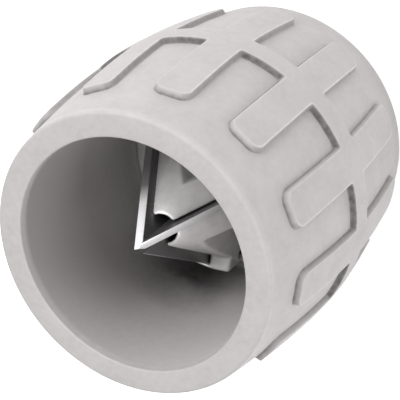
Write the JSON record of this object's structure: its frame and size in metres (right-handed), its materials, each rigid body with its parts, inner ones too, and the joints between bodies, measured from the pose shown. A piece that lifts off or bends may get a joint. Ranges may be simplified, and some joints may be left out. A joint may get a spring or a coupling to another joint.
{
  "type": "pipe deburring tool",
  "caption": "Hand-held inner and outer pipe deburrer: ribbed barrel open at both ends, with fixed blades set along a cone in a three-armed holder.",
  "frame": {"origin": "centre of the barrel's rim at the chamfering end, on which the tool stands", "axes": "+Z along the barrel's axis, out of the reaming end; +X through the middle of blade_1 and, within 1.5 degrees, of a grip rib"},
  "size_m": [0.0558, 0.0558, 0.0566],
  "materials": {
    "barrel_coating": "matt light warm grey coating over a zinc casting",
    "holder_metal": "bare satin zinc casting",
    "blade_steel": "hardened steel, ground faces, bright edges",
    "fastener_steel": "blackened steel"
  },
  "bodies": {
    "root": {"barrel": "barrel_coating", "cutter_holder": "holder_metal", "snap_ring": "fastener_steel", "blade_1": "blade_steel", "blade_2": "blade_steel", "blade_3": "blade_steel", "blade_grub_screw_1": "fastener_steel", "blade_grub_screw_2": "fastener_steel", "blade_grub_screw_3": "fastener_steel", "locking_pin_1": "fastener_steel", "locking_pin_2": "fastener_steel", "locking_pin_3": "fastener_steel"}
  },
  "joints": []
}
